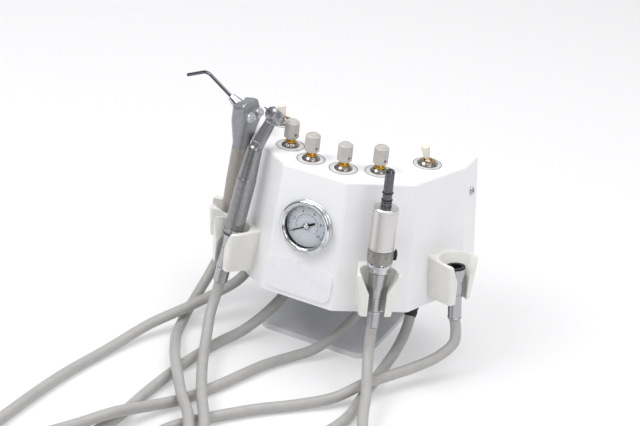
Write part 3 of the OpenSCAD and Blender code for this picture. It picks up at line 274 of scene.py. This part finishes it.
TURNED = (3, 3, 9)
FINISHES = {
    "white_paint": finish("white_paint", (0.93, 0.93, 0.937), 0.36, 0.006, 40, bump=0.05,
                          bump_grain=1400, Coat_Weight=0.25, Coat_Roughness=0.2),
    "plate_white": finish("plate_white", (0.92, 0.92, 0.94), 0.28, 0.006, 60, Coat_Weight=0.3,
                          Coat_Roughness=0.15),
    "label_white": finish("label_white", (0.93, 0.93, 0.94), 0.5, 0.01, 200),
    "steel_sheet": finish("steel_sheet", (0.72, 0.73, 0.75), 0.38, 0.03, 200, (0.2, 1, 3),
                          bump=0.05, Metallic=1.0),
    "stand_paint": finish("stand_paint", (0.88, 0.88, 0.89), 0.42, 0.01, 60, bump=0.12,
                          bump_grain=1600),
    "foot_rubber": finish("foot_rubber", (0.90, 0.90, 0.90), 0.7, 0.01, 400, bump=0.3),
    "screw_steel": finish("screw_steel", (0.74, 0.75, 0.77), 0.3, 0.04, 600, Metallic=1.0),
    "gauge_black": finish("gauge_black", (0.09, 0.09, 0.10), 0.45, 0.02, 300, bump=0.1),
    "gauge_chrome": finish("gauge_chrome", (0.86, 0.87, 0.88), 0.07, 0.02, 90, bump=0.004,
                           spread=0.03, Metallic=1.0),
    "dial_face": finish("dial_face", (0.83, 0.85, 0.88), 0.45, 0.012, 60),
    "needle_black": finish("needle_black", (0.04, 0.04, 0.05), 0.4, 0.01, 300),
    "knob_grey": finish("knob_grey", (0.74, 0.725, 0.71), 0.42, 0.012, 250, bump=0.08),
    "valve_brass": finish("valve_brass", (0.83, 0.65, 0.28), 0.22, 0.04, 500, TURNED, Metallic=1.0),
    "nut_chrome": finish("nut_chrome", (0.60, 0.58, 0.56), 0.16, 0.04, 500, Metallic=1.0),
    "lever_ivory": finish("lever_ivory", (0.89, 0.875, 0.83), 0.4, 0.012, 200),
    "holder_white": finish("holder_white", (0.90, 0.895, 0.875), 0.42, 0.012, 90, bump=0.06,
                           Subsurface_Weight=0.06, Subsurface_Scale=0.002),
    "syringe_grey": finish("syringe_grey", (0.62, 0.60, 0.58), 0.38, 0.015, 300, bump=0.06,
                           Metallic=0.35),
    "syringe_metal": finish("syringe_metal", (0.58, 0.585, 0.60), 0.34, 0.02, 300, bump=0.05,
                            Metallic=0.6),
    "collar_chrome": finish("collar_chrome", (0.74, 0.75, 0.77), 0.22, 0.03, 300, Metallic=1.0),
    "nozzle_steel": finish("nozzle_steel", (0.40, 0.40, 0.42), 0.16, 0.03, 500, Metallic=1.0),
    "button_metal": finish("button_metal", (0.78, 0.79, 0.81), 0.3, 0.02, 300, Metallic=0.8),
    "coupling_chrome": finish("coupling_chrome", (0.70, 0.70, 0.71), 0.2, 0.012, 900, TURNED,
                              Metallic=1.0),
    "handpiece_metal": finish("handpiece_metal", (0.60, 0.60, 0.61), 0.27, 0.012, 900, TURNED,
                              Metallic=1.0),
    "bur_steel": finish("bur_steel", (0.6, 0.6, 0.62), 0.25, 0.05, 500, Metallic=1.0),
    "motor_satin": finish("motor_satin", (0.84, 0.83, 0.82), 0.33, 0.01, 900, TURNED, bump=0.05,
                          Metallic=1.0),
    "motor_bright": finish("motor_bright", (0.78, 0.78, 0.80), 0.1, 0.03, 160, Metallic=1.0),
    "ring_grey": finish("ring_grey", (0.60, 0.59, 0.57), 0.35, 0.03, 300, Metallic=0.8),
    "seal_black": finish("seal_black", (0.05, 0.05, 0.05), 0.5, 0.02, 500, bump=0.1),
    "gland_black": finish("gland_black", (0.11, 0.11, 0.12), 0.5, 0.02, 300, bump=0.15),
    "inlet_brass": finish("inlet_brass", (0.80, 0.66, 0.38), 0.25, 0.04, 400, Metallic=1.0),
    "manifold_metal": finish("manifold_metal", (0.70, 0.71, 0.73), 0.4, 0.03, 200, Metallic=1.0),
    "tube_clear": finish("tube_clear", (0.85, 0.88, 0.90), 0.3, 0.02, 300),
    "hose_grey": finish("hose_grey", (0.675, 0.67, 0.66), 0.4, 0.012, 120, bump=0.05,
                        bump_grain=700),
    "ink": finish("ink", (0.16, 0.12, 0.14), 0.5, 0.02, 400),
    "dial_ink": finish("dial_ink", (0.10, 0.10, 0.13), 0.5, 0.02, 400),
    "dial_blue": finish("dial_blue", (0.30, 0.32, 0.50), 0.5, 0.02, 400),
}
glass = bpy.data.materials.new("lens_glass")
glass.use_nodes = True
pane = glass.node_tree.nodes["Principled BSDF"]
pane.inputs["Base Color"].default_value = (1, 1, 1, 1)
pane.inputs["Roughness"].default_value = 0.02
pane.inputs["Transmission Weight"].default_value = 1.0
pane.inputs["IOR"].default_value = 1.05
haze = glass.node_tree.nodes.new("ShaderNodeTexNoise")
haze.inputs["Scale"].default_value = 60
haze_bump = glass.node_tree.nodes.new("ShaderNodeBump")
haze_bump.inputs["Strength"].default_value = 0.01
glass.node_tree.links.new(haze.outputs["Fac"], haze_bump.inputs["Height"])
glass.node_tree.links.new(haze_bump.outputs["Normal"], pane.inputs["Normal"])
FINISHES["lens_glass"] = glass

for obj in HOSES:
    obj.data.materials.append(FINISHES["hose_grey"])

NODE_SLOTS = {
    "white_paint": ["housing_shell"], "plate_white": ["label_plate"],
    "label_white": ["control_labels"], "steel_sheet": ["chassis"],
    "stand_paint": ["stand_bracket"], "foot_rubber": ["foot_pad"], "screw_steel": ["screws"],
    "gauge_black": ["gauge_case"], "gauge_chrome": ["gauge_bezel"], "dial_face": ["gauge_dial"],
    "needle_black": ["gauge_needle"], "lens_glass": ["gauge_lens"],
    "knob_grey": ["knob_1", "knob_2", "knob_3", "knob_4"],
    "valve_brass": ["needle_valves", "toggle_valves"], "nut_chrome": ["panel_nuts"],
    "lever_ivory": ["toggle_lever_left", "toggle_lever_right"],
    "holder_white": ["holder_1", "holder_2", "holder_3", "holder_4"],
    "syringe_grey": ["syringe_handle"], "syringe_metal": ["syringe_head"],
    "collar_chrome": ["syringe_collar"], "nozzle_steel": ["syringe_nozzle", "motor_spigot"],
    "button_metal": ["syringe_button_air", "syringe_button_water"],
    "coupling_chrome": ["handpiece_coupling", "motor_coupling", "spare_coupling"],
    "handpiece_metal": ["handpiece_sleeve", "handpiece_head", "handpiece_push_cap"],
    "bur_steel": ["handpiece_bur", "motor_drive_dog"], "motor_satin": ["motor_sleeve"],
    "ring_grey": ["motor_ring"], "seal_black": ["seal_rings"],
    "gland_black": ["hose_glands"], "inlet_brass": ["inlet_connectors"],
    "manifold_metal": ["manifold_block"], "tube_clear": ["internal_tubes"],
}
for slot_name, names in NODE_SLOTS.items():
    for node_name in names:
        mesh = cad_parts[node_name].data
        mesh.materials.clear()
        mesh.materials.append(FINISHES[slot_name])

# ---------------------------------------------------------------- detail pieces
def piece(name, bm, body, slot_name, stands_for=(), look=None, sharp=38):
    bmesh.ops.recalc_face_normals(bm, faces=bm.faces)
    mesh = bpy.data.meshes.new(name)
    bm.to_mesh(mesh)
    bm.free()
    for face in mesh.polygons:
        face.use_smooth = True
    mesh.set_sharp_from_angle(angle=math.radians(sharp))
    mesh.materials.append(FINISHES[look or slot_name])
    obj = bpy.data.objects.new(name, mesh)
    bpy.context.scene.collection.objects.link(obj)
    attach(obj, body)
    if stands_for:
        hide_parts(*stands_for)
    return obj


def join_rows(bm, rows, closed):
    for a, b in zip(rows, rows[1:] + rows[:1] if closed else rows[1:]):
        for i in range(len(a)):
            j = (i + 1) % len(a)
            bm.faces.new((a[i], a[j], b[j], b[i]))
    if not closed:
        bm.faces.new(rows[0])
        bm.faces.new(rows[-1])


def lathe(bm, place, profile, closed=True, steps=72, swell=None):
    """Turned form about place's z axis; the profile holds radius and height in millimetres."""
    rows = []
    for r, z in profile:
        row = []
        for i in range(steps):
            a = 2 * math.pi * i / steps
            grown = r + (swell(a, z) if swell else 0)
            row.append(bm.verts.new(place @ mm(grown * math.cos(a), grown * math.sin(a), z)))
        rows.append(row)
    join_rows(bm, rows, closed)


def slab(bm, place, outline, low, high):
    """A flat outline in millimetres, raised from low to high along place's z axis."""
    join_rows(bm, [[bm.verts.new(place @ mm(x, y, z)) for x, y in outline] for z in (low, high)],
              False)


def arc(cx, cy, r, start, end, parts=10):
    return [(cx + r * math.cos(math.radians(start + (end - start) * i / parts)),
             cy + r * math.sin(math.radians(start + (end - start) * i / parts)))
            for i in range(parts + 1)]


def band(bm, place, inner, outer, low, high, start=0, end=360, parts=96):
    """A flat ring, or an arc of one, measured clockwise from the top."""
    if end - start >= 360:
        lathe(bm, place, ((inner, low), (outer, low), (outer, high), (inner, high)), steps=parts)
    else:
        slab(bm, place, arc(0, 0, inner, 90 - start, 90 - end, parts)
             + arc(0, 0, outer, 90 - end, 90 - start, parts), low, high)


def tick(bm, place, angle, inner, outer, width, low, high):
    turn_to = place @ turned(math.radians(-angle), "Z")
    half = width / 2
    slab(bm, turn_to, ((-half, inner), (half, inner), (half, outer), (-half, outer)), low, high)


# Gauge: a double-rolled rim, a dark inner wall, scale and hub
DIAL_Z = 1.2
bm = bmesh.new()
lathe(bm, AT_GAUGE, [(20.1, 0.03), *arc(21.1, 1.42, 1.38, -80, 60), *arc(20.1, 4.6, 2.4, -15, 165, 18),
                     (17.7, 5.25), (18.75, 5.22), (18.75, 2.05), (20.1, 2.05)], steps=128)
piece("gauge_rim", bm, "unit", "gauge_chrome", ["gauge_bezel"], sharp=50)
bm = bmesh.new()
lathe(bm, AT_GAUGE, [(17.7, 1.25), (18.65, 1.25), (18.65, 3.6), (18.1, 3.6), (17.9, 2.4)], steps=96)
piece("gauge_wall", bm, "unit", "gauge_black")
bm = bmesh.new()
for i in range(51):
    major = i % 5 == 0
    tick(bm, AT_GAUGE, 240 * i / 50 - 120, 14.6 if major else 15.7, 16.9, 0.42 if major else 0.22,
         DIAL_Z + 0.01, DIAL_Z + 0.07)
band(bm, AT_GAUGE, 16.9, 17.15, DIAL_Z + 0.01, DIAL_Z + 0.07, -120, 120)
piece("dial_scale", bm, "unit", "needle_black", look="dial_ink")
bm = bmesh.new()
band(bm, AT_GAUGE, 9.7, 9.95, DIAL_Z + 0.01, DIAL_Z + 0.06, -120, 120)
for i in range(13):
    tick(bm, AT_GAUGE, 20 * i - 120, 8.4, 9.7, 0.3, DIAL_Z + 0.01, DIAL_Z + 0.06)
piece("dial_inner_scale", bm, "unit", "needle_black", look="dial_blue")
for i in range(6):
    text = bpy.data.curves.new("dial_number", "FONT")
    text.body = str(2 * i)
    text.size, text.extrude = 3.4 * MM, 0.04 * MM
    text.align_x, text.align_y = "CENTER", "CENTER"
    angle = math.radians(48 * i - 120)
    obj = bpy.data.objects.new("dial_number", text)
    bpy.context.scene.collection.objects.link(obj)
    obj.matrix_world = AT_GAUGE @ moved(12.3 * math.sin(angle), 12.3 * math.cos(angle), DIAL_Z + 0.06)
    bpy.context.view_layer.update()
    mesh = bpy.data.meshes.new_from_object(obj.evaluated_get(bpy.context.evaluated_depsgraph_get()))
    bm = bmesh.new()
    bm.from_mesh(mesh)
    bmesh.ops.remove_doubles(bm, verts=bm.verts, dist=1e-7)
    bmesh.ops.transform(bm, matrix=obj.matrix_world, verts=bm.verts)
    bpy.data.objects.remove(obj)
    piece(f"dial_number_{2 * i}", bm, "unit", "needle_black", look="dial_ink")
bm = bmesh.new()
lathe(bm, AT_GAUGE, [(2.3, 2.86), (2.3, 3.0), (1.9, 3.3), (1.2, 3.48), (0.4, 3.55)], False, 48)
piece("needle_hub", bm, "needle", "gauge_chrome")

# Knobs: brass stems, raised rims; rings and scales on the labels
bm = bmesh.new()
for x, y in KNOB_XY:
    lathe(bm, moved(x, y, 0), [(3.36, 173.85), (4.4, 173.85), (4.4, 174.8), (3.9, 175.1), (4.1, 175.5),
                               (3.9, 175.9), (4.1, 176.3), (3.9, 176.7), (3.9, 177.36), (3.36, 177.36)],
          steps=40)
piece("knob_stems", bm, "unit", "valve_brass")
for i, (x, y) in enumerate(KNOB_XY):
    bm = bmesh.new()
    lathe(bm, moved(x, y, 192.2), [(2.9, -0.1), (4.3, -0.1), (4.3, 0.35), (4.0, 0.6), (3.3, 0.6), (2.9, 0.3)])
    for k in range(8):
        rib = moved(x, y, 177.4) @ turned(math.radians(45 * k), "Z") @ moved(5.95, 0, 0)
        slab(bm, rib, arc(0, 0, 0.42, -90, 90, 5), 1.4, 12.4)
    piece(f"knob_rim_{i + 1}", bm, f"knob_{i + 1}", "knob_grey")
bm = bmesh.new()
for x, y in (*KNOB_XY, *TOGGLE_XY):
    at = moved(x, y, LABEL_TOP)
    band(bm, at, 11.15, 11.75, 0.0, 0.06)
    band(bm, at, 9.3, 9.45, 0.0, 0.06)
    for k in range(28):
        tick(bm, at, 10 * k - 135, 9.9, 10.7, 0.35, 0.0, 0.06)
piece("control_marks", bm, "unit", "needle_black", look="ink")

# Handpiece: dark and bright rings, fluted grip, rings on the head
bm = bmesh.new()
lathe(bm, AT_HANDPIECE, [(6.5, 43.3), (7.6, 43.3), (7.9, 43.7), (7.9, 44.7), (7.6, 45.1), (6.5, 45.1)])
piece("handpiece_seal", bm, "unit", "seal_black")
bm = bmesh.new()
for z, r in ((29.8, 6.2), (12.4, 6.0)):
    lathe(bm, AT_HANDPIECE, [(r - 0.6, z), (r + 0.15, z), (r + 0.4, z + 0.4), (r + 0.4, z + 1.3),
                             (r + 0.15, z + 1.7), (r - 0.6, z + 1.7)])
for z, r in ((6.5, 5.45), (25.2, 4.7)):
    lathe(bm, AT_NECK, [(r - 0.5, z), (r + 0.1, z), (r + 0.25, z + 0.3), (r + 0.1, z + 0.6), (r - 0.5, z + 0.6)])
for z in (-4.6, -3.2, 3.4):
    lathe(bm, AT_HEAD, [(5.2, z), (5.7, z), (5.88, z + 0.25), (5.88, z + 0.55), (5.7, z + 0.8), (5.2, z + 0.8)])
piece("handpiece_rings", bm, "unit", "collar_chrome")
bm = bmesh.new()
GRIP_LOW, GRIP_HIGH = 52, 94
rows = [(7.4, GRIP_LOW)] + [(7.86, GRIP_LOW + 0.6 + (GRIP_HIGH - GRIP_LOW - 1.2) * i / 60)
                            for i in range(61)] + [(7.4, GRIP_HIGH)]
lathe(bm, AT_HANDPIECE, rows, steps=144,
      swell=lambda a, z: 0.16 * max(0, math.cos(12 * a)) * abs(math.sin(math.pi * (z - GRIP_LOW) / 7)))
piece("handpiece_grip", bm, "unit", "handpiece_metal", sharp=80)

# Air motor: bright band, lock lever; spare coupling's rim
bm = bmesh.new()
lathe(bm, AT_MOTOR, [(9.3, 50.1), (9.55, 50.3), (9.55, 52.6), (9.95, 53.2), (9.95, 57.4), (9.6, 58.0),
                     (9.3, 58.4)], steps=96)
for z in (2.6, 32.2):
    lathe(bm, AT_MOTOR, [(9.9, 69 + z), (10.28, 69.1 + z), (10.28, 69.7 + z), (9.9, 69.8 + z)], steps=96)
piece("motor_band", bm, "unit", "motor_bright")
bm = bmesh.new()
UPRIGHT = AT_MOTOR @ turned(math.pi / 2, "X")
slab(bm, UPRIGHT, ((10.2, 59.4), (12.2, 59.2), (13.0, 60.0), (13.3, 64.0), (13.0, 67.2), (12.3, 68.2),
                   (11.5, 67.4), (11.4, 64.6), (10.2, 63.8)), -1.6, 1.6)
bmesh.ops.bevel(bm, geom=bm.edges, offset=0.3 * MM, segments=2, affect="EDGES")
piece("motor_lever", bm, "motor_ring", "seal_black")
bm = bmesh.new()
for z, r in ((1.6, 5.6), (32.4, 6.2)):
    lathe(bm, AT_SPARE, [(r - 0.6, z), (r + 0.2, z), (r + 0.35, z + 0.4), (r + 0.2, z + 0.8), (r - 0.6, z + 0.8)])
lathe(bm, AT_MOTOR, [(5.0, 13.4), (5.5, 13.5), (5.6, 14.0), (5.5, 14.5), (5.0, 14.6)])
lathe(bm, AT_MOTOR, [(5.0, 25.2), (5.7, 25.3), (5.8, 25.7), (5.7, 26.1), (5.0, 26.2)])
piece("coupling_rings", bm, "unit", "motor_bright")

# Pan heads with a cross recess on the straight sides
bm = bmesh.new()
painted_shade_cross = bmesh.new()
CROSS = ((-0.4, -1.6), (0.4, -1.6), (0.4, -0.4), (1.6, -0.4), (1.6, 0.4), (0.4, 0.4), (0.4, 1.6), (-0.4, 1.6),
         (-0.4, 0.4), (-1.6, 0.4), (-1.6, -0.4), (-0.4, -0.4))
for at in [on_facet(3, hand, 0, z) for hand in (-1, 1) for z in (82, 144)]:
    lathe(bm, at, [(3.4, 0.03), (3.4, 0.8), (3.2, 1.3), (2.5, 1.8), (1.5, 2.02), (0.4, 2.08)], False, 48)
    # painted shade: a dark solid cross stands in for the shade inside each screw's recess, which is not cut into
    # the steel head
    slab(painted_shade_cross, at, CROSS, 1.7, 2.1)
piece("screw_heads", bm, "unit", "screw_steel")
piece("screw_recess_painted_shade", painted_shade_cross, "unit", "gland_black")


def relief(name, length=30, turns=7):
    """Tapered and ribbed sleeve on the hose's first stretch under its gland."""
    path = smooth(HOSE_OUT[name], 12)
    bm = bmesh.new()
    rows, run, last = [], 0.0, path[0]
    across = Vector((1, 0, 0))
    for here, after in zip(path, path[1:]):
        run += (here - last).length
        last = here
        if run > length:
            break
        ahead = (after - here).normalized()
        across = (across - across.dot(ahead) * ahead).normalized()
        other = ahead.cross(across)
        r = 6.5 - 1.5 * run / length + 0.22 * math.cos(2 * math.pi * turns * run / length)
        rows.append([bm.verts.new((here + r * (math.cos(a) * across + math.sin(a) * other)) * MM)
                     for a in (2 * math.pi * i / 28 for i in range(28))])
    join_rows(bm, rows, False)
    return piece(name + "_strain_relief", bm, "unit", "gland_black", sharp=70)


for hose_name in COILS:
    relief(hose_name)

# ---------------------------------------------------------------- stage and light
def stage_material(name, shade, lift):
    """Diffuse floor that the camera, gloss and glass see a little lifted toward white."""
    mat = bpy.data.materials.new(name)
    mat.use_nodes = True
    nodes, links = mat.node_tree.nodes, mat.node_tree.links
    nodes.clear()
    out = nodes.new("ShaderNodeOutputMaterial")
    paper = nodes.new("ShaderNodeBsdfDiffuse")
    paper.inputs["Color"].default_value = (shade, shade, shade * 1.01, 1)
    glow = nodes.new("ShaderNodeEmission")
    glow.inputs["Color"].default_value = (1, 1, 1, 1)
    rays = nodes.new("ShaderNodeLightPath")
    seen = nodes.new("ShaderNodeMath")
    seen.operation = "ADD"
    seen.use_clamp = True
    links.new(rays.outputs["Is Camera Ray"], seen.inputs[0])
    links.new(rays.outputs["Is Glossy Ray"], seen.inputs[1])
    seen_too = nodes.new("ShaderNodeMath")
    seen_too.operation = "ADD"
    seen_too.use_clamp = True
    links.new(seen.outputs[0], seen_too.inputs[0])
    links.new(rays.outputs["Is Transmission Ray"], seen_too.inputs[1])
    share = nodes.new("ShaderNodeMath")
    share.operation = "MULTIPLY"
    share.inputs[1].default_value = lift
    links.new(seen_too.outputs[0], share.inputs[0])
    mix = nodes.new("ShaderNodeMixShader")
    links.new(share.outputs[0], mix.inputs["Fac"])
    links.new(paper.outputs[0], mix.inputs[1])
    links.new(glow.outputs[0], mix.inputs[2])
    links.new(mix.outputs[0], out.inputs["Surface"])
    return mat


def stage_sweep():
    """Floor that curves up into a backdrop far behind the object."""
    steps = [(-3.0, 0.0)] + [(2.0 + math.sin(a) * 1.0, 1.0 - math.cos(a))
                             for a in (math.radians(d) for d in range(0, 91, 10))] + [(3.0, 4.0)]
    bm = bmesh.new()
    rows = [[bm.verts.new((x, y, z)) for x in (-4.0, 4.0)] for y, z in steps]
    for a, b in zip(rows, rows[1:]):
        bm.faces.new((a[0], a[1], b[1], b[0])).smooth = True
    mesh = bpy.data.meshes.new("sweep")
    bm.to_mesh(mesh)
    obj = bpy.data.objects.new("sweep", mesh)
    mesh.materials.append(stage_material("paper", 0.86, 0.35))
    bpy.context.scene.collection.objects.link(obj)
    return obj


stage_sweep()


def flag(name, place, aim, wide, high):
    """A dark card that only mirrors and gloss see, so that chrome has something to show."""
    mat = bpy.data.materials.new(name)
    mat.use_nodes = True
    mat.node_tree.nodes["Principled BSDF"].inputs["Base Color"].default_value = (0.01, 0.01, 0.01, 1)
    mesh = bpy.data.meshes.new(name)
    mesh.from_pydata([(-wide / 2, -high / 2, 0), (wide / 2, -high / 2, 0), (wide / 2, high / 2, 0),
                      (-wide / 2, high / 2, 0)], [], [(0, 1, 2, 3)])
    mesh.materials.append(mat)
    obj = bpy.data.objects.new(name, mesh)
    bpy.context.scene.collection.objects.link(obj)
    obj.location = place
    obj.rotation_mode = "QUATERNION"
    obj.rotation_quaternion = (Vector(aim) - Vector(place)).to_track_quat("Z", "Y")
    obj.visible_camera = obj.visible_diffuse = obj.visible_shadow = obj.visible_transmission = False


flag("flag_left", (-0.75, -0.75, 0.35), (0, -0.05, 0.12), 0.28, 1.0)
flag("flag_right", (0.95, -0.55, 0.3), (0, -0.05, 0.12), 0.22, 0.9)
flag("flag_low", (0.15, -0.9, 0.06), (0, -0.05, 0.12), 0.8, 0.14)


def area_light(name, place, aim, size, power):
    data = bpy.data.lights.new(name, "AREA")
    data.shape = "RECTANGLE"
    data.size, data.size_y = size
    data.energy = power
    obj = bpy.data.objects.new(name, data)
    bpy.context.scene.collection.objects.link(obj)
    obj.location = place
    obj.rotation_mode = "QUATERNION"
    obj.rotation_quaternion = (Vector(aim) - Vector(place)).to_track_quat("-Z", "Y")
    return obj


area_light("key", (-0.7, -0.9, 1.5), (0, -0.05, 0.1), (1.0, 0.8), 15)
area_light("overhead", (0.2, 0.2, 1.7), (0, 0, 0.1), (1.4, 1.2), 14)
area_light("fill", (1.4, -1.0, 0.9), (0, 0, 0.1), (0.9, 0.9), 6)

world = bpy.data.worlds.new("studio")
bpy.context.scene.world = world
world.use_nodes = True
sky = world.node_tree.nodes["Background"]
sky.inputs["Color"].default_value = (0.98, 0.985, 1.0, 1)
sky.inputs["Strength"].default_value = 0.5

bpy.context.scene.view_settings.view_transform = "Standard"
